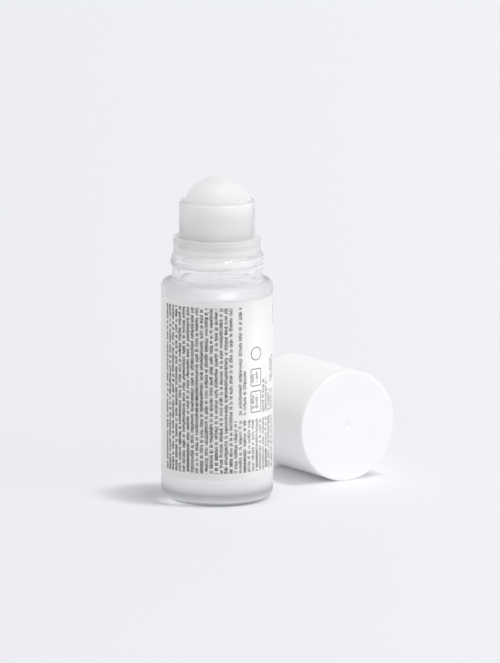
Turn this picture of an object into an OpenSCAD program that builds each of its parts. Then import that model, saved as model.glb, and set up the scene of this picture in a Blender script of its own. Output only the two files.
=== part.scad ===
// Roll-on bottle: a glass bottle with a wrap-round label, a moulded housing that
// holds a free-turning ball in the neck, and a double-walled screw cap that lies
// on its side next to the bottle. Millimetres, +Z up, origin under the middle of
// the base. The cap's own profiles are drawn as if it stood closed on the neck.

/* [Glass bottle] */
// Outer diameter of the body
body_d = 38; // [34:0.5:44]
// Height of the shoulder's flat above the table
shoulder_h = 75.6; // [60:0.1:95]
// Height of the neck above the shoulder
neck_h = 9.6; // [8:0.1:12]
// Bore of the neck
bore_d = 25.6; // [25:0.1:27]
// Wall of the neck at the thread's root
neck_t = 2.4; // [1.8:0.1:3]
// Wall of the body
glass_t = 2.8; // [2:0.1:3.4]
// Wall of the shoulder, from its flat down to the hollow
roof_t = 3; // [2.2:0.1:4]
// Glass under the hollow, measured from the table
base_t = 5.2; // [4:0.1:9]
// Outer radius of the heel
heel_r = 3.8; // [2.5:0.1:5]
// Outer radius of the shoulder's corner
shoulder_r = 1.9; // [1:0.1:2.6]
// Hollow radius where the neck meets the shoulder
root_r = 0.8; // [0.4:0.1:1.2]
// Outer radius of the neck's rim
rim_r = 0.7; // [0.3:0.1:1]
// Inner radius of the neck's rim
rim_in_r = 0.4; // [0.2:0.1:0.6]
// Radius round the floor of the hollow
floor_r = 4.5; // [3:0.1:6]
// Radius round the roof of the hollow
roof_r = 2.2; // [1.2:0.1:3]
// Radius of the throat, where the hollow runs into the neck
throat_r = 1.2; // [0.6:0.1:1.6]
// Diameter of the push-up under the base
pushup_d = 26; // [18:0.5:26]
// Height of the push-up at its middle
pushup_h = 1.3; // [0.6:0.1:2.2]

/* [Label] */
// Height of the label's lower edge above the table
label_low = 9.4; // [6:0.1:20]
// Distance of the label's upper edge below the shoulder's flat
label_drop = 4.6; // [3:0.1:12]
// Thickness of the label
label_t = 0.12; // [0.06:0.01:0.3]
// Bare strip of glass between the label's two ends, at the back
label_gap = 2.4; // [1:0.1:8]
// Glue line under the label
glue_t = 0.02; // [0.01:0.01:0.05]

/* [Roller ball] */
// Diameter of the ball
ball_d = 24.1; // [22.5:0.1:24.6]
// Wall of the hollow ball
ball_t = 1.6; // [1:0.1:3]
// Height of the ball's top above the housing's lip
ball_show = 7.95; // [7:0.05:8.8]
// Running clearance between the ball and its housing
ball_clear = 0.1; // [0.05:0.01:0.1]

/* [Ball housing] */
// Wall of the cup at the ball's widest part
cup_t = 0.8; // [0.6:0.05:1.2]
// Height of the cup above the flange
cup_h = 12.5; // [11:0.1:14]
// Radius of the lip's outer edge
lip_r = 0.45; // [0.2:0.05:0.55]
// Radius of the lip's inner edge
lip_in_r = 0.2; // [0.1:0.05:0.3]
// Height of the flange on the glass rim
flange_h = 5.2; // [4:0.1:7]
// Step in from the neck's outside to the flange's
flange_step = 0.25; // [0.1:0.05:0.6]
// Thickness of the flange's top
flange_t = 1.1; // [0.8:0.1:1.6]
// Thickness of the flange's collar
collar_t = 1; // [0.8:0.1:1.2]
// Radius of the flange's edges
flange_r = 0.4; // [0.2:0.05:0.6]
// Hollow radius where the cup stands on the flange
cup_root_r = 0.9; // [0.4:0.1:1.2]
// Depth of the plug in the neck
plug_h = 4.6; // [3.6:0.1:6]
// Wall of the plug
plug_t = 1.2; // [0.9:0.1:1.5]
// Clearance of the plug's wall in the bore
plug_clear = 0.16; // [0.1:0.02:0.3]
// Clearance of the plug's sealing rings in the bore
seal_clear = 0.02; // [0.01:0.01:0.05]
// Radius of each sealing ring's section
bead_r = 0.4; // [0.3:0.05:0.6]
// Number of sealing rings
bead_n = 2; // [1:1:2]
// Space between the ball and the seat's floor
seat_gap = 0.75; // [0.5:0.05:1.2]
// Slope of the seat's floor, in degrees
seat_slope = 29; // [25:1:32]
// Thickness of the seat's floor
seat_t = 0.9; // [0.7:0.1:1.4]
// Diameter of the feed hole in the seat
feed_d = 6; // [4:0.5:8]
// Number of ribs that carry the ball
rib_n = 6; // [3:1:8]
// Thickness of each rib
rib_t = 0.9; // [0.6:0.1:1.4]
// Height of the ribs' outer ends above the floor's edge
rib_rise = 1.2; // [0.4:0.1:2]

/* [Cap shell] */
// Height of the thread on the neck, which the cap has to pass
thread_h = 0.8; // [0.5:0.05:1]
// Clearance round the thread
thread_clear = 0.3; // [0.2:0.05:0.5]
// Wall of the shell
shell_t = 1.33; // [1:0.01:2]
// Thickness of the shell's top
top_t = 1.4; // [1:0.1:2.4]
// Radius of the top's outer edge
edge_r = 0.7; // [0.3:0.1:1]
// Radius of the open end's edges
mouth_r = 0.25; // [0.1:0.05:0.4]
// Radius round the inside of the top
corner_r = 0.5; // [0.3:0.1:1]
// Space between the ball and the shell's top when the cap is on
crown_gap = 0.7; // [0.5:0.1:2]
// Space between the closed cap and the shoulder
cap_gap = 0.3; // [0.1:0.1:1]
// Diameter of the gate mark in the middle of the top
gate_d = 2.8; // [1.5:0.1:4]
// Depth of the gate mark
gate_h = 0.3; // [0.1:0.05:0.5]

/* [Cap liner] */
// Wall of the liner
liner_t = 1; // [0.7:0.1:1.3]
// Height of the ribs that centre the liner in the shell
grip_h = 0.45; // [0.3:0.05:1]
// Thickness of the ribs and webs
web_t = 0.8; // [0.5:0.1:1.2]
// Number of tall webs round the liner, each with a short rib after it
web_n = 8; // [4:1:12]
// Fit of the liner in the shell
liner_fit = 0.02; // [0.01:0.01:0.05]
// Step from the shell's open end in to the liner's
liner_step = 0.5; // [0.2:0.1:1.5]
// Space between the flange and the liner's shelf when the cap is on
shelf_gap = 0.4; // [0.2:0.1:1]
// Space between the cup and the liner's sleeve when the cap is on
sleeve_gap = 0.5; // [0.3:0.05:0.8]
// Diameter of the ring that shuts on the ball
ring_d = 15; // [12:0.5:17]
// Thickness of that ring
ring_t = 0.9; // [0.6:0.1:1.4]
// Space between that ring and the ball when the cap is on
ring_clear = 0.05; // [0.02:0.01:0.1]

/* [Cap laid beside the bottle] */
// Place of the middle of the closed end, to the right of the bottle's axis
cap_x = 44.6; // [42:0.1:70]
// Place of the middle of the closed end, behind the bottle's axis
cap_y = 27.3; // [24:0.1:60]
// Turn of the cap's axis from straight ahead, in degrees
cap_turn = 33.8; // [20:0.1:60]

/* [Hidden] */
$fn = 128;
// Overrun of cuts past the faces that they open
over = 0.3;

body_r = body_d / 2;
bore_r = bore_d / 2;
neck_r = bore_r + neck_t;
rim_z = shoulder_h + neck_h;
hollow_r = body_r - glass_t;
roof_z = shoulder_h - roof_t;

label_in_r = body_r + glue_t;
label_h = shoulder_h - label_drop - label_low;

ball_r = ball_d / 2;
cavity_r = ball_r + ball_clear;
cup_r = cavity_r + cup_t;
flange_z = rim_z + flange_h;
lip_z = flange_z + cup_h;
ball_z = lip_z + ball_show - ball_r;
flange_out_r = neck_r - flange_step;
collar_in_r = flange_out_r - collar_t;
plug_z = rim_z - plug_h;
plug_r = bore_r - plug_clear;
// The plug's hollow never reaches out under the cup's wall.
plug_in_r = min(plug_r - plug_t, cavity_r);
bead_x = bore_r - seal_clear - bead_r;
bead_pitch = plug_h / (bead_n + 1);
core_in_r = max(cup_r, plug_r);
feed_r = feed_d / 2;
seat_edge_z = seat_z(cavity_r);

// The cap's heights are measured from its open end.
cap_z = shoulder_h + cap_gap;
skirt_r = neck_r + thread_h + thread_clear;
skirt_out_r = skirt_r + liner_t;
shell_in_r = skirt_out_r + grip_h + liner_fit;
cap_r = shell_in_r + shell_t;
cap_ball_z = ball_z - cap_z;
shell_top_z = cap_ball_z + ball_r + crown_gap;
cap_h = shell_top_z + top_t;
shelf_z = flange_z - cap_z + shelf_gap;
sleeve_r = cup_r + sleeve_gap;
sleeve_out_r = sleeve_r + liner_t;
crown_top_z = shell_top_z - liner_fit;
crown_z = crown_top_z - liner_t;
ring_r = ring_d / 2;
ring_tip_r = ring_t / 2;
web_reach = sqrt(pow(shell_in_r - liner_fit, 2) - pow(web_t / 2, 2));
// Height at which the ring's round tip just clears the ball
ring_tip_z = cap_ball_z + sqrt(pow(ball_r + ring_clear + ring_tip_r, 2) - ring_r * ring_r);

// Height of the seat's sloping floor at radius r: it lies seat_gap off the ball.
function seat_z(r) = ball_z - (ball_r + seat_gap) / cos(seat_slope) + r * tan(seat_slope);

// Radius of the ball-shaped face whose edge circle has radius a and whose depth is h.
function dish_r(a, h) = (a * a + h * h) / (2 * h);

// Upright strip of a half profile, from radius a to b and from height low to high.
module strip(a, b, low, high) {
    translate([a, low]) square([b - a, high - low]);
}

// Web between a corner at p and the arc of radius r that blends its two sides.
// The side sx, sy says which way the arc's centre lies. Taken away, it rounds an
// outer corner. Added, it fills an inner one.
module corner_web(p, r, sx, sy) {
    translate(p) difference() {
        translate([sx > 0 ? -over : -r, sy > 0 ? -over : -r]) square(r + over);
        translate([sx * r, sy * r]) circle(r);
    }
}

// Keeps the half of a profile that lies on the positive side of the axis.
module half_plane(reach, low, high) {
    intersection() {
        children();
        strip(0, reach, low, high);
    }
}

module bottle_hollow_profile() {
    difference() {
        union() {
            strip(0, hollow_r, base_t, roof_z);
            strip(0, bore_r, base_t, rim_z + over);
            corner_web([bore_r, roof_z], throat_r, 1, 1);
        }
        corner_web([hollow_r, base_t], floor_r, -1, 1);
        corner_web([hollow_r, roof_z], roof_r, -1, -1);
    }
}

module glass_bottle() {
    pushup_a = pushup_d / 2;
    pushup_ball_r = dish_r(pushup_a, pushup_h);
    color([0.86, 0.88, 0.9, 0.6])
    rotate_extrude()
    difference() {
        union() {
            strip(0, body_r, 0, shoulder_h);
            strip(0, neck_r, base_t, rim_z);
            corner_web([neck_r, shoulder_h], root_r, 1, 1);
        }
        corner_web([body_r, 0], heel_r, -1, 1);
        corner_web([body_r, shoulder_h], shoulder_r, -1, -1);
        corner_web([neck_r, rim_z], rim_r, -1, -1);
        corner_web([bore_r, rim_z], rim_in_r, 1, -1);
        bottle_hollow_profile();
        half_plane(body_r, -over, base_t)
            translate([0, pushup_h - pushup_ball_r]) circle(pushup_ball_r);
    }
}

module label() {
    label_out_r = label_in_r + label_t;
    color("white")
    translate([0, 0, label_low])
    difference() {
        cylinder(r = label_out_r, h = label_h);
        translate([0, 0, -over]) cylinder(r = label_in_r, h = label_h + 2 * over);
        translate([-label_gap / 2, 0, -over])
            cube([label_gap, label_out_r + over, label_h + 2 * over]);
    }
}

// Inside of the housing, from the lip down to the seat and out through the feed
// hole: the ball's own sphere above its widest part, a straight bore below it.
module cup_hollow_profile() {
    half_plane(cavity_r, seat_edge_z, lip_z + over)
        translate([0, ball_z]) circle(cavity_r);
    strip(0, cavity_r, seat_edge_z, ball_z);
    polygon([
        [0, seat_z(feed_r)], [feed_r, seat_z(feed_r)],
        [cavity_r, seat_edge_z], [0, seat_edge_z]
    ]);
    strip(0, feed_r, plug_z - over, seat_edge_z);
    corner_web([mouth_edge_r(), lip_z], lip_in_r, 1, -1);
}

// Radius of the ball's opening at the lip.
function mouth_edge_r() = sqrt(cavity_r * cavity_r - pow(lip_z - ball_z, 2));

// Hollow of the plug under the sloping floor.
module plug_hollow_profile() {
    polygon([
        [0, plug_z - over], [plug_in_r, plug_z - over],
        [plug_in_r, seat_z(plug_in_r) - seat_t],
        [feed_r, seat_z(feed_r) - seat_t], [0, seat_z(feed_r) - seat_t]
    ]);
}

module housing_profile() {
    difference() {
        union() {
            strip(0, plug_r, plug_z, rim_z + over);
            strip(0, flange_out_r, rim_z, flange_z);
            strip(0, cup_r, rim_z, lip_z);
            corner_web([cup_r, flange_z], cup_root_r, 1, 1);
            for (i = [1 : bead_n])
                translate([bead_x, plug_z + i * bead_pitch]) circle(bead_r);
        }
        corner_web([cup_r, lip_z], lip_r, -1, -1);
        corner_web([flange_out_r, flange_z], flange_r, -1, -1);
        corner_web([plug_r, plug_z], flange_r, -1, 1);
        strip(core_in_r, collar_in_r, rim_z - over, flange_z - flange_t);
        cup_hollow_profile();
        plug_hollow_profile();
    }
}

// One rib from the feed hole out to the cup's wall. Its top follows the ball.
module seat_rib() {
    rib_low = seat_t / 2;
    rib_in_r = feed_r + rib_t;
    rib_out_r = cavity_r + cup_t / 2;
    rotate([90, 0, 0])
    linear_extrude(rib_t, center = true)
    difference() {
        polygon([
            [rib_in_r, seat_z(rib_in_r) - rib_low], [rib_out_r, seat_z(rib_out_r) - rib_low],
            [rib_out_r, seat_edge_z + rib_rise], [rib_in_r, seat_edge_z + rib_rise]
        ]);
        translate([0, ball_z]) circle(cavity_r);
    }
}

module ball_housing() {
    color([0.9, 0.91, 0.92, 0.8]) {
        rotate_extrude() housing_profile();
        for (i = [0 : rib_n - 1]) rotate(i * 360 / rib_n) seat_rib();
    }
}

module roller_ball() {
    color("whitesmoke")
    translate([0, 0, ball_z])
    difference() {
        sphere(ball_r);
        sphere(ball_r - ball_t);
    }
}

// Lays the standing cap on its side, with its closed end at cap_x, cap_y.
module laid_cap() {
    translate([cap_x, cap_y, cap_r])
        rotate([90, 0, cap_turn])
        translate([0, 0, -cap_h])
        children();
}

module shell_profile() {
    gate_a = gate_d / 2;
    gate_ball_r = dish_r(gate_a, gate_h);
    difference() {
        strip(0, cap_r, 0, cap_h);
        difference() {
            strip(0, shell_in_r, -over, shell_top_z);
            corner_web([shell_in_r, shell_top_z], corner_r, -1, -1);
        }
        corner_web([cap_r, cap_h], edge_r, -1, -1);
        corner_web([cap_r, 0], mouth_r, -1, 1);
        corner_web([shell_in_r, 0], mouth_r, 1, 1);
        half_plane(cap_r, shell_top_z, cap_h + over)
            translate([0, cap_h - gate_h + gate_ball_r]) circle(gate_ball_r);
    }
}

module cap_shell() {
    color("white") laid_cap() rotate_extrude() shell_profile();
}

// The liner's skirt takes the neck and its thread, the shelf stands over the
// flange, the sleeve goes round the cup and the crown carries the ring.
module liner_profile() {
    strip(skirt_r, skirt_out_r, liner_step, shelf_z + liner_t);
    strip(sleeve_r, skirt_out_r, shelf_z, shelf_z + liner_t);
    strip(sleeve_r, sleeve_out_r, shelf_z, crown_top_z);
    strip(ring_r - ring_tip_r, sleeve_out_r, crown_z, crown_top_z);
    strip(ring_r - ring_tip_r, ring_r + ring_tip_r, ring_tip_z, crown_top_z);
    translate([ring_r, ring_tip_z]) circle(ring_tip_r);
}

// Outline of one tall web: along the skirt, over the shelf and up the sleeve.
// It stops short of the shell by the fit, also at its flat end's corners.
module web_outline() {
    root = liner_t / 2;
    low = liner_step + liner_t;
    high = crown_top_z - corner_r;
    polygon([
        [skirt_out_r - root, low], [web_reach, low], [web_reach, high],
        [sleeve_out_r - root, high], [sleeve_out_r - root, shelf_z + root],
        [skirt_out_r - root, shelf_z + root]
    ]);
}

module cap_liner() {
    web_turn = 360 / web_n;
    color([0.95, 0.95, 0.95])
    laid_cap() {
        rotate_extrude() liner_profile();
        for (i = [0 : web_n - 1]) rotate(i * web_turn) {
            rotate([90, 0, 0]) linear_extrude(web_t, center = true) web_outline();
            rotate([90, 0, web_turn / 2]) linear_extrude(web_t, center = true)
                intersection() {
                    web_outline();
                    strip(skirt_r, shell_in_r, 0, shelf_z);
                }
        }
    }
}

glass_bottle();
label();
ball_housing();
roller_ball();
cap_shell();
cap_liner();
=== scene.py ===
import math

import bmesh
import bpy
from mathutils import Matrix, Vector


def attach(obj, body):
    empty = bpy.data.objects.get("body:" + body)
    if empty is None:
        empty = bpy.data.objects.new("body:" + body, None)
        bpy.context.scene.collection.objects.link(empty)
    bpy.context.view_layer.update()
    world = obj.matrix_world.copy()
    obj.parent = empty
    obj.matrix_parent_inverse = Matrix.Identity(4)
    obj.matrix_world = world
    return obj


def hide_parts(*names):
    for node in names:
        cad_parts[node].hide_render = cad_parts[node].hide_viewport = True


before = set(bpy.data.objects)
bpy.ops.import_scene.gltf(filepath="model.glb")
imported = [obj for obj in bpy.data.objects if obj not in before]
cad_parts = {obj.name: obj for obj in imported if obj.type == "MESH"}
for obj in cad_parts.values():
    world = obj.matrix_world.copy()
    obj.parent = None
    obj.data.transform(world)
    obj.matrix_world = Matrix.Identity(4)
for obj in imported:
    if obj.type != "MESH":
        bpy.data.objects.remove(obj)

bpy.context.view_layer.update()
mm = 0.001
fullTurn = 2 * math.pi
nearlyFull = 0.995  # share of a corner's longest rounding, so that two roundings never meet
tolerance = 0.01  # mm
mergeGap = 0.0002  # mm
print("frame loaded:", sorted(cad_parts))


def newObject(name, data):
    obj = bpy.data.objects.new(name, data)
    bpy.context.scene.collection.objects.link(obj)
    return obj


def aim(obj, ahead):
    # Turns a lamp or the camera to look along a direction.
    obj.rotation_mode = "QUATERNION"
    obj.rotation_quaternion = ahead.to_track_quat("-Z", "Y")


def newMaterial(name, color, roughness, more=None):
    mat = bpy.data.materials.new(name)
    mat.use_nodes = True
    shader = mat.node_tree.nodes["Principled BSDF"]
    shader.inputs["Base Color"].default_value = (*color, 1)
    shader.inputs["Roughness"].default_value = roughness
    for socket, value in (more or {}).items():
        shader.inputs[socket].default_value = value
    return mat, mat.node_tree, shader


def softPlastic(weight, depth):
    # Shader settings for a plastic that light enters. The depth is in metres.
    return {"Subsurface Weight": weight, "Subsurface Scale": depth, "Subsurface Radius": (1, 1, 1)}


def feed(tree, socket, value):
    if isinstance(value, bpy.types.NodeSocket):
        tree.links.new(value, socket)
    else:
        socket.default_value = value


def calc(tree, operation, first, second=None, third=None):
    node = tree.nodes.new("ShaderNodeMath")
    node.operation = operation
    for socket, value in zip(node.inputs, (first, second, third)):
        if value is not None:
            feed(tree, socket, value)
    return node.outputs[0]


def multiplyAll(tree, values):
    result = values[0]
    for value in values[1:]:
        result = calc(tree, "MULTIPLY", result, value)
    return result


def largestOf(tree, values):
    result = values[0]
    for value in values[1:]:
        result = calc(tree, "MAXIMUM", result, value)
    return result


def hypotenuse(tree, first, second):
    return calc(tree, "SQRT", calc(tree, "ADD", calc(tree, "MULTIPLY", first, first),
                                   calc(tree, "MULTIPLY", second, second)))


def between(tree, value, low, high):
    above = calc(tree, "GREATER_THAN", value, low)
    below = calc(tree, "LESS_THAN", value, high)
    return calc(tree, "MULTIPLY", above, below)


def objectAxes(tree):
    coords = tree.nodes.new("ShaderNodeTexCoord")
    split = tree.nodes.new("ShaderNodeSeparateXYZ")
    tree.links.new(coords.outputs["Object"], split.inputs[0])
    return coords.outputs["Object"], split.outputs[0], split.outputs[1], split.outputs[2]


def noise(tree, vector, scale, detail, roughness):
    node = tree.nodes.new("ShaderNodeTexNoise")
    node.inputs["Scale"].default_value = scale
    node.inputs["Detail"].default_value = detail
    node.inputs["Roughness"].default_value = roughness
    tree.links.new(vector, node.inputs["Vector"])
    return node.outputs["Fac"]


def remap(tree, value, fromLow, fromHigh, toLow, toHigh):
    node = tree.nodes.new("ShaderNodeMapRange")
    for socket, number in zip(node.inputs, (value, fromLow, fromHigh, toLow, toHigh)):
        feed(tree, socket, number)
    return node.outputs[0]


def spreadNoise(tree, grain, low, high):
    # Most of a noise texture lies between 0.3 and 0.7, and that part goes from low to high.
    return remap(tree, grain, 0.3, 0.7, low, high)


def mixColors(tree, factor, first, second, blend="MIX"):
    # The mix node's sockets 6 and 7 take its two colors, and output 2 gives the result.
    node = tree.nodes.new("ShaderNodeMix")
    node.data_type = "RGBA"
    node.blend_type = blend
    feed(tree, node.inputs["Factor"], factor)
    for socket, value in ((node.inputs[6], first), (node.inputs[7], second)):
        feed(tree, socket, value if isinstance(value, bpy.types.NodeSocket) else (*value, 1))
    return node.outputs[2]


def bump(tree, shader, height, strength, distance):
    node = tree.nodes.new("ShaderNodeBump")
    node.inputs["Strength"].default_value = strength
    node.inputs["Distance"].default_value = distance
    tree.links.new(height, node.inputs["Height"])
    tree.links.new(node.outputs[0], shader.inputs["Normal"])


def grainRoughness(tree, shader, coords, look):
    grain = noise(tree, coords, *look["grain"])
    feed(tree, shader.inputs["Roughness"],
         spreadNoise(tree, grain, look["roughFrom"], look["roughTo"]))


def grainBump(tree, shader, coords, look):
    bump(tree, shader, noise(tree, coords, *look["bumpGrain"]), *look["bump"])


def toneByHeight(tree, z, stops, color):
    # A ramp up the axis: each stop is a height in mm and the share of the color kept there.
    ramp = tree.nodes.new("ShaderNodeValToRGB")
    while len(ramp.color_ramp.elements) < len(stops):
        ramp.color_ramp.elements.new(1)
    low, high = stops[0][0], stops[-1][0]
    for element, (height, tone) in zip(ramp.color_ramp.elements, stops):
        element.position = (height - low) / (high - low)
        element.color = (*(tone * part for part in color), 1)
    feed(tree, ramp.inputs[0], remap(tree, z, low * mm, high * mm, 0.0, 1.0))
    return ramp.outputs[0]


def passLamps(tree, share):
    # Lets a share of the lamps' light straight through, to what the piece shuts in.
    output = tree.nodes["Material Output"]
    surface = output.inputs[0].links[0].from_socket
    clear = tree.nodes.new("ShaderNodeBsdfTransparent")
    path = tree.nodes.new("ShaderNodeLightPath")
    mixer = tree.nodes.new("ShaderNodeMixShader")
    feed(tree, mixer.inputs[0], calc(tree, "MULTIPLY", path.outputs["Is Shadow Ray"], share))
    tree.links.new(surface, mixer.inputs[1])
    tree.links.new(clear.outputs[0], mixer.inputs[2])
    tree.links.new(mixer.outputs[0], output.inputs[0])


def dress(obj, mat):
    obj.data.materials.clear()
    obj.data.materials.append(mat)


def finishMesh(bm, name, body, sharpAngle=35):
    mesh = bpy.data.meshes.new(name)
    bm.to_mesh(mesh)
    bm.free()
    mesh.shade_smooth()
    mesh.set_sharp_from_angle(angle=math.radians(sharpAngle))
    obj = newObject(name, mesh)
    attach(obj, body)
    return obj


def profileWire(bm, corners, closed=False):
    # Joins the corners (radius, height, rounding, segments) and rounds each one.
    verts = [bm.verts.new((r * mm, 0, z * mm)) for r, z, rounding, segments in corners]
    for first, second in zip(verts, verts[1:] + verts[:closed]):
        bm.edges.new((first, second))
    for vert, (r, z, rounding, segments) in zip(verts, corners):
        if rounding:
            bmesh.ops.bevel(bm, geom=[vert], offset=rounding * mm, offset_type="OFFSET",
                            affect="VERTICES", segments=segments, profile=0.5,
                            material=-1, clamp_overlap=False)


def spinProfile(bm, steps):
    bmesh.ops.spin(bm, geom=bm.verts[:] + bm.edges[:], cent=(0, 0, 0), axis=(0, 0, 1),
                   angle=fullTurn, steps=steps, use_merge=True)
    bmesh.ops.remove_doubles(bm, verts=bm.verts[:], dist=mergeGap * mm)
    bmesh.ops.recalc_face_normals(bm, faces=bm.faces[:])


# The glass bottle. Here and below, lengths are in mm and angles in degrees. A grain is a noise:
# its scale, detail and blend. A bump is its strength and its depth in metres.
bottle = {
    "bodyR": 19.0, "shoulderZ": 75.6, "neckR": 15.2, "rimZ": 85.2, "boreR": 12.8,
    "hollowR": 16.2, "roofZ": 72.6, "floorZ": 5.2, "pushupR": 13.0, "pushupZ": 1.3,
    "heelR": 3.8, "shoulderR": 1.9, "rootR": 0.8, "rimR": 0.7, "rimInR": 0.4,
    "floorR": 4.5, "roofR": 2.2, "throatR": 1.2, "footR": 0.25, "steps": 192, "neckCuts": 60,
    "threadHeight": 0.45, "threadWidth": 3.3, "threadFlank": 0.32, "threadPitch": 3.4,
    "threadZ": 80.2, "threadFrom": -97, "threadTo": 390, "threadFade": 26,
    "swell": 0.3, "swellFrom": 79.9, "swellTo": 84.6, "swellRise": 1.3, "swellFall": 0.7,
    # how far off the neck's wall, and below its straight part, a point still lifts
    "liftReach": 0.7, "liftBelow": 0.5,
    "frostTop": 76.4, "frostEdge": 0.8, "frostRoughness": 0.55, "frostSpread": 0.05,
    # frost begins this far outside the hollow, below the shoulder, in the neck, under the floor
    "offHollow": 0.7, "offShoulder": 1.5, "offNeck": 0.2, "offFloor": 1.2,
    "grain": (2200, 2, 0.6), "grainShare": 0.15, "wave": (160, 1, 0.4), "bump": (0.12, 0.0004),
    "roughness": 0.02, "clearRoughness": 0.015, "insideRoughness": 0.14, "insideTop": 76.0,
    "frostClear": 0.74, "footClear": 0.3,
    "color": (0.99, 0.987, 0.989), "frostColor": (0.98, 0.985, 1.0), "ior": 1.42,
    "neckClear": 0.84, "beadMilk": 0.2, "beadFrom": 0.05, "beadTo": 0.3, "insideMilk": 0.08,
    "lampShare": 1.0, "frostLampShare": 0.85,
    # painted shade over the thick foot, by height and tone: a painted contact shadow at the floor,
    # a less shaded ring standing for a bright one, a painted dark arc, then the full tone
    "footShadeTones": [(0.0, 0.5), (0.95, 0.54), (1.5, 0.84), (1.9, 0.78), (2.6, 0.63), (3.5, 0.56),
                  (3.8, 0.49), (4.6, 0.64), (5.6, 0.8), (6.8, 0.92), (9.0, 0.98)],
}


def easeIn(share):
    share = min(1, share)
    return share * share * (3 - 2 * share)


def neckLift(angle, z):
    # How far the neck's swell and its thread bead stand out at an angle and a height, in mm.
    swell = (bottle["swell"] * easeIn(max(0, z - bottle["swellFrom"]) / bottle["swellRise"])
             * easeIn(max(0, bottle["swellTo"] - z) / bottle["swellFall"]))
    lift = 0
    for turn in (-1, 0, 1):
        along = math.degrees(angle) + 360 * turn
        if bottle["threadFrom"] < along < bottle["threadTo"]:
            middle = bottle["threadZ"] + bottle["threadPitch"] * along / 360
            across = (z - middle) / bottle["threadWidth"]
            if abs(across) < 0.5:
                toEnd = min(along - bottle["threadFrom"], bottle["threadTo"] - along)
                lift = max(lift, bottle["threadHeight"] * easeIn(toEnd / bottle["threadFade"])
                           * easeIn((0.5 - abs(across)) / bottle["threadFlank"]))
    return swell + lift


def buildBottle():
    b = bottle
    dishMiddle = (b["pushupR"] ** 2 + b["pushupZ"] ** 2) / (2 * b["pushupR"])
    bm = bmesh.new()
    profileWire(bm, [
        (0, b["pushupZ"], 0, 0),
        (dishMiddle, b["pushupZ"], dishMiddle * nearlyFull, 14),
        (b["pushupR"], 0, b["footR"], 3),
        (b["bodyR"], 0, b["heelR"], 14),
        (b["bodyR"], b["shoulderZ"], b["shoulderR"], 10),
        (b["neckR"], b["shoulderZ"], b["rootR"], 8),
        (b["neckR"], b["rimZ"], b["rimR"], 8),
        (b["boreR"], b["rimZ"], b["rimInR"], 6),
        (b["boreR"], b["roofZ"], b["throatR"], 8),
        (b["hollowR"], b["roofZ"], b["roofR"], 10),
        (b["hollowR"], b["floorZ"], b["floorR"], 14),
        (0, b["floorZ"], 0, 0),
    ])
    # The neck's outside gets rows close enough together to carry the thread.
    neckLow, neckHigh = b["shoulderZ"] + b["rootR"], b["rimZ"] - b["rimR"]
    for edge in bm.edges[:]:
        heights = sorted(v.co.z / mm for v in edge.verts)
        onWall = all(abs(v.co.x / mm - b["neckR"]) < tolerance for v in edge.verts)
        if onWall and heights[0] < neckLow + tolerance and heights[1] > neckHigh - tolerance:
            bmesh.ops.subdivide_edges(bm, edges=[edge], cuts=b["neckCuts"])
    spinProfile(bm, b["steps"])
    for vert in bm.verts:
        vert.co.z = max(vert.co.z, 0)
        radius = math.hypot(vert.co.x, vert.co.y) / mm
        z = vert.co.z / mm
        onNeck = abs(radius - b["neckR"]) < b["liftReach"]
        if onNeck and neckLow - b["liftBelow"] < z < b["rimZ"]:
            factor = 1 + neckLift(math.atan2(vert.co.y, vert.co.x), z) / radius
            vert.co.x *= factor
            vert.co.y *= factor
    obj = finishMesh(bm, "glassBottle", "bottle")
    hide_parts("glass_bottle")
    return obj


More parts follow.
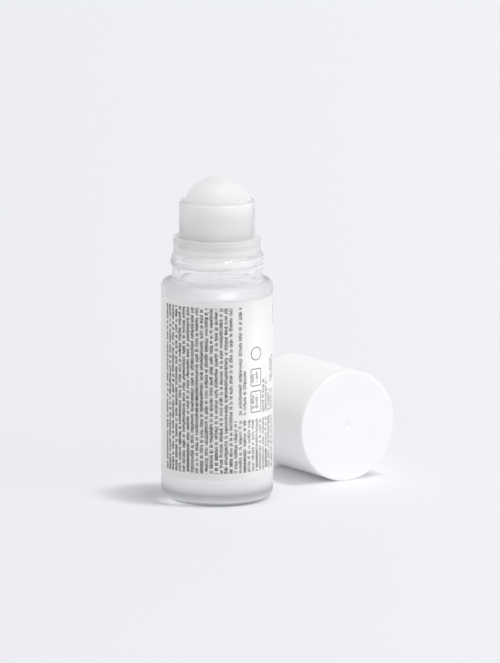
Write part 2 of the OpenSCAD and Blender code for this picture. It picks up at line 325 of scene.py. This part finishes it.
def glassMaterial():
    b = bottle
    mat, tree, shader = newMaterial("frostedGlass", b["color"], b["roughness"], {
        "Transmission Weight": 1, "IOR": b["ior"],
    })
    coords, x, y, z = objectAxes(tree)
    radius = hypotenuse(tree, x, y)
    # Frosted: the side, the shoulder up to a soft edge on the neck, and the underside.
    side = calc(tree, "GREATER_THAN", radius, (b["hollowR"] + b["offHollow"]) * mm)
    upward = calc(tree, "GREATER_THAN", z, (b["shoulderZ"] - b["offShoulder"]) * mm)
    edge = remap(tree, z, b["frostTop"] * mm, (b["frostTop"] + b["frostEdge"]) * mm, 1.0, 0.0)
    offNeck = calc(tree, "GREATER_THAN", radius, (b["neckR"] - b["offNeck"]) * mm)
    top = multiplyAll(tree, [upward, edge, offNeck])
    base = calc(tree, "LESS_THAN", z, (b["floorZ"] - b["offFloor"]) * mm)
    frosted = largestOf(tree, [side, top, base])
    grain = noise(tree, coords, *b["grain"])
    rough = spreadNoise(tree, grain, b["frostRoughness"] - b["frostSpread"],
                        b["frostRoughness"] + b["frostSpread"])
    inBody = calc(tree, "LESS_THAN", z, b["insideTop"] * mm)
    clear = calc(tree, "MULTIPLY_ADD", inBody, b["insideRoughness"] - b["clearRoughness"],
                 b["clearRoughness"])
    feed(tree, shader.inputs["Roughness"],
         calc(tree, "MULTIPLY_ADD", frosted, calc(tree, "SUBTRACT", rough, clear), clear))
    milkiness = remap(tree, z, b["footShadeTones"][-1][0] * mm, b["shoulderZ"] * mm,
                      b["footClear"] - b["neckClear"], b["frostClear"] - b["neckClear"])
    # The thread bead and the inner wall are a little milkier than the clear neck.
    beadFoot = b["neckR"] + b["swell"]
    bead = remap(tree, radius, (beadFoot + b["beadFrom"]) * mm, (beadFoot + b["beadTo"]) * mm,
                 0.0, b["beadMilk"])
    onNeck = calc(tree, "GREATER_THAN", z, (b["frostTop"] + b["frostEdge"]) * mm)
    insideMilk = calc(tree, "MULTIPLY", calc(tree, "MULTIPLY", inBody, b["insideMilk"]),
                      calc(tree, "SUBTRACT", 1.0, frosted))
    milk = calc(tree, "MULTIPLY_ADD", bead, onNeck, insideMilk)
    feed(tree, shader.inputs["Transmission Weight"],
         calc(tree, "MULTIPLY_ADD", frosted, milkiness,
              calc(tree, "SUBTRACT", b["neckClear"], milk)))
    # The neck's glass is a little wavy, and the frosted skin has a fine grain.
    wave = noise(tree, coords, *b["wave"])
    fine = calc(tree, "MULTIPLY", calc(tree, "MULTIPLY", grain, frosted), b["grainShare"])
    bump(tree, shader, calc(tree, "ADD", wave, fine), *b["bump"])
    passLamps(tree, calc(tree, "MULTIPLY_ADD", frosted, b["frostLampShare"] - b["lampShare"],
                         b["lampShare"]))
    # Painted shade over the thick foot: darker and lighter rings by height, with a painted contact
    # shadow at the floor, a painted bright ring above it and a painted dark arc.
    paintedShadeRings = toneByHeight(tree, z, b["footShadeTones"], b["frostColor"])
    tree.links.new(mixColors(tree, frosted, b["color"], paintedShadeRings), shader.inputs["Base Color"])
    return mat


glassBottle = buildBottle()
dress(glassBottle, glassMaterial())
print("glass bottle:", len(glassBottle.data.polygons), "faces")


# The label: white film with rows of plain marks that run up the bottle.
label = {
    "outerR": 19.14, "faceDepth": 0.06, "paper": (0.752, 0.744, 0.731), "ink": (0.03, 0.03, 0.03),
    "roughness": 0.42, "roughFrom": 0.38, "roughTo": 0.46, "gloss": 1.0, "soft": (1, 0.0002),
    "grain": (1500, 2, 0.5), "cloudGrain": (700, 2, 0.6), "cloudTone": (0.97, 1.0),
    "bumpGrain": (2600, 2, 0.5), "bump": (0.05, 0.0001), "lampShare": 0.45,
    "firstRow": -61.5, "rowPitch": 5.06, "markWidth": 0.6, "bandHalf": 0.285, "tailDepth": 0.17,
    "spaceEvery": 3, "spaceShare": 0.42, "stems": 2, "stemHalf": 0.21, "dotsAcross": 3,
    "dotsHigh": 4, "bareShare": 0.38, "bareRise": 0.018,
    "tallShare": 0.22, "deepShare": 0.1, "rowShift": 7.313, "dotLevels": 9.0,
    "boldHalf": 0.32, "boldMark": 0.43, "holeWide": 0.1, "holeHigh": 0.62, "holeShare": 0.5,
    # rows from, rows to, lowest and highest height
    "blocks": [(0, 16, 11.75, 69.0), (16, 28, 11.75, 29.8), (17, 18, 31.7, 69.0),
               (18, 19, 31.7, 46.9), (23, 25, 31.7, 43.2), (25, 28, 31.7, 39.0),
               (26, 28, 41.5, 50.5), (28, 29, 60.3, 69.3),
               (20, 22, 33.4, 38.2), (20, 22, 42.6, 46.2)],
    # every third row starts bold, up to this height
    "boldEvery": 3, "boldTop": 19.0,
    # middle angle and height, half width and half height, corner radius
    "frames": [(43.9, 35.8, 2.3, 3.6, 0.6), (43.9, 44.2, 2.3, 2.9, 0.6),
               (43.9, 52.4, 2.2, 2.2, 2.2)],
    "frameLine": 0.32,
}


def randomAt(tree, first, second):
    # One random number between 0 and 1 for each pair of whole numbers.
    pair = tree.nodes.new("ShaderNodeCombineXYZ")
    feed(tree, pair.inputs[0], first)
    feed(tree, pair.inputs[1], second)
    random = tree.nodes.new("ShaderNodeTexWhiteNoise")
    random.noise_dimensions = "2D"
    tree.links.new(pair.outputs[0], random.inputs["Vector"])
    return random.outputs["Value"]


def printMask(tree, x, y, z):
    angle = calc(tree, "MULTIPLY", calc(tree, "ARCTAN2", x, calc(tree, "MULTIPLY", y, -1)),
                 180 / math.pi)
    height = calc(tree, "DIVIDE", z, mm)
    fromFirst = calc(tree, "SUBTRACT", angle, label["firstRow"])
    rows = calc(tree, "ADD", calc(tree, "DIVIDE", fromFirst, label["rowPitch"]), 0.5)
    row = calc(tree, "FLOOR", rows)
    across = calc(tree, "SUBTRACT", calc(tree, "FRACT", rows), 0.5)
    offRow = calc(tree, "ABSOLUTE", across)
    # Marks run up the bottle, and each third one may be a space. Each row is shifted, so that
    # no two are alike. A mark is two short strokes among random dots, some with a dot above or
    # below the row. A bold mark is a block, at random with a hole in it.
    marks = calc(tree, "MULTIPLY_ADD", row, label["rowShift"],
                 calc(tree, "DIVIDE", height, label["markWidth"]))
    mark = calc(tree, "FLOOR", marks)
    inMark = calc(tree, "ABSOLUTE", calc(tree, "SUBTRACT", calc(tree, "FRACT", marks), 0.5))
    turn = calc(tree, "FRACT", calc(tree, "DIVIDE", calc(tree, "ADD", mark, 0.5),
                                    label["spaceEvery"]))
    filled = calc(tree, "MAXIMUM", calc(tree, "GREATER_THAN", turn, 1 / label["spaceEvery"]),
                  calc(tree, "GREATER_THAN", randomAt(tree, mark, row), label["spaceShare"]))
    half = label["bandHalf"]
    fromMiddle = label["dotsHigh"] / 2
    level = calc(tree, "FLOOR", calc(tree, "MULTIPLY_ADD", across, fromMiddle / half, fromMiddle))
    dots = calc(tree, "FLOOR", calc(tree, "MULTIPLY", marks, label["dotsAcross"]))
    chance = randomAt(tree, dots, calc(tree, "MULTIPLY_ADD", row, label["dotLevels"], level))
    stem = calc(tree, "FRACT", calc(tree, "MULTIPLY", marks, label["stems"]))
    offStem = calc(tree, "ABSOLUTE", calc(tree, "SUBTRACT", stem, 0.5))
    stems = calc(tree, "LESS_THAN", offStem, label["stemHalf"])
    bare = calc(tree, "MULTIPLY_ADD", row, label["bareRise"], label["bareShare"])
    body = calc(tree, "MULTIPLY", calc(tree, "LESS_THAN", offRow, half),
                calc(tree, "MAXIMUM", stems, calc(tree, "GREATER_THAN", chance, bare)))
    tail = label["tailDepth"]
    above = calc(tree, "MULTIPLY", between(tree, across, -half - tail, -half),
                 calc(tree, "LESS_THAN", chance, label["tallShare"]))
    below = calc(tree, "MULTIPLY", between(tree, across, half, half + tail),
                 calc(tree, "LESS_THAN", chance, label["deepShare"]))
    turnOfRow = calc(tree, "FRACT", calc(tree, "DIVIDE", calc(tree, "ADD", row, 0.5),
                                         label["boldEvery"]))
    bold = calc(tree, "MULTIPLY", calc(tree, "LESS_THAN", turnOfRow, 1 / label["boldEvery"]),
                calc(tree, "LESS_THAN", height, label["boldTop"]))
    hole = multiplyAll(tree, [calc(tree, "LESS_THAN", inMark, label["holeWide"]),
                              calc(tree, "LESS_THAN", offRow, half * label["holeHigh"]),
                              calc(tree, "GREATER_THAN", chance, label["holeShare"])])
    block = multiplyAll(tree, [bold, calc(tree, "LESS_THAN", inMark, label["boldMark"]),
                               calc(tree, "LESS_THAN", offRow, label["boldHalf"]),
                               calc(tree, "SUBTRACT", 1.0, hole)])
    thin = calc(tree, "MULTIPLY", largestOf(tree, [body, above, below]),
                calc(tree, "SUBTRACT", 1.0, bold))
    inBlock = largestOf(tree, [
        calc(tree, "MULTIPLY", between(tree, row, first - 0.5, last - 0.5),
             between(tree, height, low, high))
        for first, last, low, high in label["blocks"]])
    strokes = multiplyAll(tree, [calc(tree, "MAXIMUM", thin, block), filled, inBlock])
    return largestOf(tree, [strokes] + frameLines(tree, angle, height))


def frameLines(tree, angle, height):
    # Plain frames with round corners, each drawn where the distance to its edge is small.
    lines = []
    for middle, level, halfWide, halfHigh, corner in label["frames"]:
        wide = calc(tree, "MULTIPLY", calc(tree, "SUBTRACT", angle, middle),
                    label["outerR"] * math.pi / 180)
        high = calc(tree, "SUBTRACT", height, level)
        sideGap = calc(tree, "SUBTRACT", calc(tree, "ABSOLUTE", wide), halfWide - corner)
        endGap = calc(tree, "SUBTRACT", calc(tree, "ABSOLUTE", high), halfHigh - corner)
        outside = hypotenuse(tree, calc(tree, "MAXIMUM", sideGap, 0.0),
                             calc(tree, "MAXIMUM", endGap, 0.0))
        inside = calc(tree, "MINIMUM", calc(tree, "MAXIMUM", sideGap, endGap), 0.0)
        distance = calc(tree, "SUBTRACT", calc(tree, "ADD", outside, inside), corner)
        lines.append(calc(tree, "LESS_THAN", calc(tree, "ABSOLUTE", distance),
                          label["frameLine"] / 2))
    return lines


def labelMaterial():
    # The film is thin enough to let some light into the bottle.
    mat, tree, shader = newMaterial("printedFilm", label["paper"], label["roughness"], {
        **softPlastic(*label["soft"]), "Specular IOR Level": label["gloss"],
    })
    coords, x, y, z = objectAxes(tree)
    face = calc(tree, "GREATER_THAN", hypotenuse(tree, x, y),
                (label["outerR"] - label["faceDepth"]) * mm)
    ink = calc(tree, "MULTIPLY", printMask(tree, x, y, z), face)
    cloud = spreadNoise(tree, noise(tree, coords, *label["cloudGrain"]), *label["cloudTone"])
    paper = mixColors(tree, 1, label["paper"], cloud, "MULTIPLY")
    tree.links.new(mixColors(tree, ink, paper, label["ink"]), shader.inputs["Base Color"])
    grainRoughness(tree, shader, coords, label)
    grainBump(tree, shader, coords, label)
    passLamps(tree, label["lampShare"])
    return mat


dress(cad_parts["label"], labelMaterial())
print("label: film and print set")


# The ball housing, moulded in milky plastic, and the ball in it.
housing = {
    "color": (0.975, 0.971, 0.972), "roughness": 0.19, "roughFrom": 0.17, "roughTo": 0.22,
    "grain": (500, 2, 0.5), "clear": 0.7, "ior": 1.45, "lampShare": 1.0, "collarShadeDepth": 0.3,
    "ballZ": 98.8, "ballR": 12.05, "cavityR": 12.15, "cupR": 12.95, "lipZ": 102.9,
    "flangeR": 14.95, "flangeZ": 90.4, "flangeT": 1.1, "rimZ": 85.2, "collarT": 1.0,
    "plugR": 12.64, "plugInR": 11.44, "plugZ": 80.6, "feedR": 3.0, "seatSlope": 29,
    "seatGap": 0.75, "seatT": 0.9, "lipR": 0.6, "lipInR": 0.2, "rootR": 0.9, "edgeR": 0.4,
    "beadR": 0.4, "beadX": 12.38, "beadCrest": 0.12, "beads": 2, "smallR": 0.1, "seatR": 0.15,
    "steps": 160, "ribs": 6, "ribT": 0.9, "ribRise": 1.2, "ribInWall": 0.3, "ribSteps": 6,
    # height and tone of painted shade on the collar's outside: painted dark lines at its edges and
    # darker bands that stand for the hollow collar's shaded inside
    "collarShadeTones": [(85.3, 0.98), (85.6, 0.91), (86.0, 0.94), (86.3, 1.0), (87.2, 1.0),
                    (87.7, 0.9), (88.9, 0.88), (89.3, 1.0), (89.8, 1.0), (90.15, 0.92),
                    (90.35, 1.0)],
}
ball = {
    "color": (0.81, 0.807, 0.81), "roughness": 0.5, "roughFrom": 0.46, "roughTo": 0.55,
    "soft": (0.5, 0.004), "grain": (900, 3, 0.6), "bumpGrain": (1800, 2, 0.5),
    "bump": (0.03, 0.0001),
}


def seatZ(radius):
    # Height of the seat's sloping floor under the ball.
    slope = math.radians(housing["seatSlope"])
    return (housing["ballZ"] - (housing["ballR"] + housing["seatGap"]) / math.cos(slope)
            + radius * math.tan(slope))


def buildHousing():
    h = housing
    lipAngle = math.asin((h["lipZ"] - h["ballZ"]) / h["cavityR"])
    tangent = h["cavityR"] * math.tan(lipAngle / 2)
    mouthR = h["cavityR"] * math.cos(lipAngle)
    small = h["smallR"]
    collarR = h["flangeR"] - h["collarT"]
    corners = [
        (h["feedR"], seatZ(h["feedR"]), 0, 0),
        (h["cavityR"], seatZ(h["cavityR"]), h["seatR"], 2),
        (h["cavityR"], h["ballZ"] + tangent, tangent * nearlyFull, 8),
        (mouthR, h["lipZ"], h["lipInR"], 3),
        (h["cupR"], h["lipZ"], h["lipR"], 6),
        (h["cupR"], h["flangeZ"], h["rootR"], 8),
        (h["flangeR"], h["flangeZ"], h["edgeR"], 6),
        (h["flangeR"], h["rimZ"], small, 2),
        (collarR, h["rimZ"], small, 2),
        (collarR, h["flangeZ"] - h["flangeT"], small, 2),
        (h["cupR"], h["flangeZ"] - h["flangeT"], small, 2),
        (h["cupR"], h["rimZ"], 0, 0),
        (h["plugR"], h["rimZ"], 0, 0),
    ]
    pitch = (h["rimZ"] - h["plugZ"]) / (h["beads"] + 1)
    chord = math.sqrt(h["beadR"] ** 2 - (h["plugR"] - h["beadX"]) ** 2)
    crest = h["beadX"] + h["beadR"]
    for i in range(h["beads"], 0, -1):
        middle = h["plugZ"] + i * pitch
        corners += [(h["plugR"], middle + chord, 0, 0), (crest, middle + h["beadCrest"], small, 2),
                    (crest, middle - h["beadCrest"], small, 2), (h["plugR"], middle - chord, 0, 0)]
    corners += [
        (h["plugR"], h["plugZ"], h["edgeR"], 5),
        (h["plugInR"], h["plugZ"], small, 2),
        (h["plugInR"], seatZ(h["plugInR"]) - h["seatT"], small, 2),
        (h["feedR"], seatZ(h["feedR"]) - h["seatT"], 0, 0),
    ]
    bm = bmesh.new()
    profileWire(bm, corners, closed=True)
    spinProfile(bm, h["steps"])
    obj = finishMesh(bm, "ballHousing", "bottle", sharpAngle=40)
    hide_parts("ball_housing")
    return obj


def buildSeatRibs():
    # Ribs on the seat's floor, which hold the ball off it. Their tops follow the ball.
    h = housing
    inner, outer = h["feedR"] + h["ribT"], h["cavityR"] + h["ribInWall"]
    top = seatZ(h["cavityR"]) + h["ribRise"]
    topR = math.sqrt(h["cavityR"] ** 2 - (h["ballZ"] - top) ** 2)
    points = [(inner, seatZ(inner) - h["seatT"] / 2), (outer, seatZ(outer) - h["seatT"] / 2),
              (outer, top)]
    for i in range(h["ribSteps"] + 1):
        radius = topR + (inner - topR) * i / h["ribSteps"]
        points.append((radius, h["ballZ"] - math.sqrt(h["cavityR"] ** 2 - radius ** 2)))
    bm = bmesh.new()
    for i in range(h["ribs"]):
        verts = [bm.verts.new((r * mm, -h["ribT"] / 2 * mm, z * mm)) for r, z in points]
        face = bm.faces.new(verts)
        made = bmesh.ops.extrude_face_region(bm, geom=[face])
        moved = [g for g in made["geom"] if isinstance(g, bmesh.types.BMVert)]
        bmesh.ops.translate(bm, vec=(0, h["ribT"] * mm, 0), verts=moved)
        bmesh.ops.rotate(bm, cent=(0, 0, 0), verts=verts + moved,
                         matrix=Matrix.Rotation(fullTurn * i / h["ribs"], 3, "Z"))
    bmesh.ops.recalc_face_normals(bm, faces=bm.faces[:])
    return finishMesh(bm, "seatRibs", "bottle", sharpAngle=20)


def housingMaterial():
    mat, tree, shader = newMaterial("milkyPlastic", housing["color"], housing["roughness"], {
        "Transmission Weight": housing["clear"], "IOR": housing["ior"],
    })
    coords, x, y, z = objectAxes(tree)
    grainRoughness(tree, shader, coords, housing)
    # Painted shade: darker bands and edge lines by height on the collar's outside.
    outside = calc(tree, "GREATER_THAN", hypotenuse(tree, x, y),
                   (housing["flangeR"] - housing["collarShadeDepth"]) * mm)
    paintedShadeRings = toneByHeight(tree, z, housing["collarShadeTones"], housing["color"])
    tree.links.new(mixColors(tree, outside, housing["color"], paintedShadeRings), shader.inputs["Base Color"])
    passLamps(tree, housing["lampShare"])
    return mat


def ballMaterial():
    mat, tree, shader = newMaterial("ballPlastic", ball["color"], ball["roughness"],
                                    softPlastic(*ball["soft"]))
    coords = objectAxes(tree)[0]
    grainRoughness(tree, shader, coords, ball)
    grainBump(tree, shader, coords, ball)
    return mat


housingPlastic = housingMaterial()
dress(buildHousing(), housingPlastic)
dress(buildSeatRibs(), housingPlastic)
dress(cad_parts["roller_ball"], ballMaterial())
print("housing and ball: materials set")


# The cap, which lies on its side.
cap = {
    # place of its closed end, its size, and how far it is turned on the floor
    "closedX": 44.6, "closedY": 27.3, "outerR": 19.1, "height": 37.05, "turn": 33.8,
    "color": (0.92, 0.916, 0.92), "linerColor": (0.91, 0.906, 0.91),
    "roughness": 0.36, "roughFrom": 0.32, "roughTo": 0.41, "soft": (0.2, 0.001),
    "grain": (800, 3, 0.6), "bumpGrain": (1500, 2, 0.5), "bump": (0.03, 0.0001),
    "lampShare": 0.75, "threadCrest": 15.7, "threadRoot": 16.45, "threadHalf": 0.95,
    "threadCrestHalf": 0.35, "threadPitch": 3.4, "threadZ": 2.9, "threadTurns": 1.2,
    "stepsPerTurn": 96, "fadeSteps": 10, "endStep": 0.5,
}


def layCap(bm):
    turn = math.radians(cap["turn"])
    place = (Matrix.Translation((cap["closedX"] * mm, cap["closedY"] * mm, cap["outerR"] * mm))
             @ Matrix.Rotation(turn, 4, "Z") @ Matrix.Rotation(math.pi / 2, 4, "X")
             @ Matrix.Translation((0, 0, -cap["height"] * mm)))
    bmesh.ops.transform(bm, matrix=place, verts=bm.verts[:])


def buildCapThread():
    c = cap
    bm = bmesh.new()
    section = [(c["threadRoot"], -c["threadHalf"]), (c["threadCrest"], -c["threadCrestHalf"]),
               (c["threadCrest"], c["threadCrestHalf"]), (c["threadRoot"], c["threadHalf"])]
    verts = [bm.verts.new((r * mm, 0, (c["threadZ"] + z) * mm)) for r, z in section]
    sides = len(section)
    edges = [bm.edges.new((verts[i], verts[(i + 1) % sides])) for i in range(sides)]
    steps = round(c["stepsPerTurn"] * c["threadTurns"])
    bmesh.ops.spin(bm, geom=verts + edges, cent=(0, 0, 0), axis=(0, 0, 1),
                   dvec=(0, 0, c["threadPitch"] * c["threadTurns"] / steps * mm),
                   angle=fullTurn * c["threadTurns"], steps=steps)
    # Both ends run out into the skirt, to a thin end and not to nothing.
    for index, vert in enumerate(bm.verts):
        step = index // sides
        fade = min(1, (min(step, steps - step) + c["endStep"]) / c["fadeSteps"])
        radius = math.hypot(vert.co.x, vert.co.y)
        wanted = c["threadRoot"] * mm + (radius - c["threadRoot"] * mm) * fade
        vert.co.x *= wanted / radius
        vert.co.y *= wanted / radius
    bmesh.ops.holes_fill(bm, edges=bm.edges[:], sides=sides)
    bmesh.ops.recalc_face_normals(bm, faces=bm.faces[:])
    # That can leave the whole bead facing inward.
    if bm.calc_volume(signed=True) < 0:
        bmesh.ops.reverse_faces(bm, faces=bm.faces[:])
    layCap(bm)
    return finishMesh(bm, "capThread", "cap", sharpAngle=50)


def capMaterial(name, color):
    mat, tree, shader = newMaterial(name, color, cap["roughness"], softPlastic(*cap["soft"]))
    coords = objectAxes(tree)[0]
    grainRoughness(tree, shader, coords, cap)
    grainBump(tree, shader, coords, cap)
    passLamps(tree, cap["lampShare"])
    return mat


capThread = buildCapThread()
capPlastic = capMaterial("capPlastic", cap["color"])
linerPlastic = capMaterial("linerPlastic", cap["linerColor"])
dress(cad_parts["cap_shell"], capPlastic)
dress(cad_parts["cap_liner"], linerPlastic)
dress(capThread, linerPlastic)
print("cap: shell, liner and thread set")


# The floor, the light and the camera.
stage = {
    # lengths from here on are in metres
    "floorHalf": 3.0, "floorColor": (0.857, 0.864, 0.893), "floorRoughness": 0.8,
    "floorGloss": 0.1,
    # painted shade: tone of the floor at the left, and from where to where it rises to 1
    "floorShadeLeft": 0.955, "floorShadeFrom": -0.08, "floorShadeTo": 0.13,
    "backdrop": (0.866, 0.874, 0.908),
    "tentColor": (0.985, 0.99, 1.0), "tentTop": 0.08, "tentEdge": 1.295, "tentRight": 0.02,
    # turn, height, power and peak of each glow
    "glows": [(-36, 5, 8, 0.8), (22, 6, 20, 0.04), (180, 62, 5, 0.17)],
    "sunTurn": -14, "sunHeights": (72.5, 74, 76, 79, 84), "sunWidth": 6, "sunTotal": 0.452,
    # a small gridded panel, which lights the bottle's right side and misses the cap
    "panelTurn": -8, "panelHeight": 2, "panelAway": 0.6, "panelSize": (0.03, 0.058),
    "panelSpread": 3.5, "panelPower": 0.0017, "panelTarget": (0.009, -0.013, 0.04),
    # the camera, with its lens and sensor in mm
    "lens": 1085.97, "sensorWidth": 36, "nearest": 0.5, "farthest": 40, "distance": 6.802,
    "lookDown": 11.06, "target": (0.011174, 0, 0.05734),
}


def buildFloor():
    bm = bmesh.new()
    bmesh.ops.create_grid(bm, x_segments=2, y_segments=2, size=stage["floorHalf"])
    mesh = bpy.data.meshes.new("floor")
    bm.to_mesh(mesh)
    bm.free()
    mat, tree, shader = newMaterial("floorPaint", stage["floorColor"], stage["floorRoughness"],
                                    {"Specular IOR Level": stage["floorGloss"]})
    # Painted shade: the floor is a little darker on the left.
    x = objectAxes(tree)[1]
    tone = remap(tree, x, stage["floorShadeFrom"], stage["floorShadeTo"], 0.0, 1.0)
    shadedFloor = tuple(part * stage["floorShadeLeft"] for part in stage["floorColor"])
    tree.links.new(mixColors(tree, tone, shadedFloor, stage["floorColor"]), shader.inputs["Base Color"])
    mesh.materials.append(mat)
    obj = newObject("floor", mesh)


def direction(turn, height):
    # Unit vector towards a place in the tent. A turn of 0 is to the right, -90 to the front.
    side, up = math.radians(turn), math.radians(height)
    return Vector((math.cos(up) * math.cos(side), math.cos(up) * math.sin(side), math.sin(up)))


def buildWorld():
    world = bpy.data.worlds.new("studio")
    bpy.context.scene.world = world
    world.use_nodes = True
    tree = world.node_tree
    tree.nodes.clear()
    output = tree.nodes.new("ShaderNodeOutputWorld")
    ambient = tree.nodes.new("ShaderNodeBackground")
    ambient.inputs[0].default_value = (*stage["tentColor"], 1)
    # The tent is brighter towards its lower edge, and glows in a few places.
    coords = tree.nodes.new("ShaderNodeTexCoord")
    axes = tree.nodes.new("ShaderNodeSeparateXYZ")
    tree.links.new(coords.outputs["Generated"], axes.inputs[0])
    low = calc(tree, "SUBTRACT", 1.0, calc(tree, "ABSOLUTE", axes.outputs[2]))
    tilt = calc(tree, "MULTIPLY_ADD", axes.outputs[0], stage["tentRight"], 1.0)
    edge = calc(tree, "MULTIPLY_ADD", calc(tree, "MULTIPLY", low, tilt), stage["tentEdge"],
                stage["tentTop"])
    glow = 0.0
    for turn, height, power, peak in stage["glows"]:
        facing = tree.nodes.new("ShaderNodeVectorMath")
        facing.operation = "DOT_PRODUCT"
        tree.links.new(coords.outputs["Generated"], facing.inputs[0])
        facing.inputs[1].default_value = direction(turn, height)
        lobe = calc(tree, "POWER", calc(tree, "MAXIMUM", facing.outputs["Value"], 0.0), power)
        glow = calc(tree, "MULTIPLY_ADD", lobe, peak, glow)
    feed(tree, ambient.inputs[1], calc(tree, "ADD", edge, glow))
    # The camera, mirrors and clear glass see an even backdrop, and mirrors see the glows too.
    path = tree.nodes.new("ShaderNodeLightPath")
    backdrop = tree.nodes.new("ShaderNodeBackground")
    backdrop.inputs[0].default_value = (*stage["backdrop"], 1)
    feed(tree, backdrop.inputs[1],
         calc(tree, "MULTIPLY_ADD", glow, path.outputs["Is Glossy Ray"], 1.0))
    seen = largestOf(tree, [path.outputs["Is Camera Ray"], path.outputs["Is Glossy Ray"],
                            path.outputs["Is Transmission Ray"]])
    mixer = tree.nodes.new("ShaderNodeMixShader")
    tree.links.new(seen, mixer.inputs[0])
    tree.links.new(ambient.outputs[0], mixer.inputs[1])
    tree.links.new(backdrop.outputs[0], mixer.inputs[2])
    tree.links.new(mixer.outputs[0], output.inputs[0])


def buildSuns():
    # A soft source overhead, a little to the right: a fan of wide lamps.
    heights = stage["sunHeights"]
    level = sum(math.sin(math.radians(height)) for height in heights)
    for height in heights:
        name = "fan%d" % round(height)
        lamp = bpy.data.lights.new(name, "SUN")
        lamp.energy = stage["sunTotal"] * math.pi / level
        lamp.angle = math.radians(stage["sunWidth"])
        aim(newObject(name, lamp), -direction(stage["sunTurn"], height))


def buildPanel():
    lamp = bpy.data.lights.new("sidePanel", "AREA")
    lamp.shape = "RECTANGLE"
    lamp.size, lamp.size_y = stage["panelSize"]
    lamp.spread = math.radians(stage["panelSpread"])
    lamp.energy = stage["panelPower"]
    obj = newObject("sidePanel", lamp)
    toLamp = direction(stage["panelTurn"], stage["panelHeight"])
    obj.location = Vector(stage["panelTarget"]) + toLamp * stage["panelAway"]
    aim(obj, -toLamp)
    obj.visible_camera = False


def buildCamera():
    data = bpy.data.cameras.new("camera")
    data.lens = stage["lens"]
    data.sensor_width = stage["sensorWidth"]
    data.clip_start, data.clip_end = stage["nearest"], stage["farthest"]
    obj = newObject("camera", data)
    down = math.radians(stage["lookDown"])
    ahead = Vector((0, math.cos(down), -math.sin(down)))
    obj.location = Vector(stage["target"]) - ahead * stage["distance"]
    aim(obj, ahead)
    bpy.context.scene.camera = obj


buildFloor()
buildWorld()
buildSuns()
buildPanel()
buildCamera()
bpy.context.scene.view_settings.view_transform = "Standard"
print("stage ready")

bpy.context.view_layer.update()
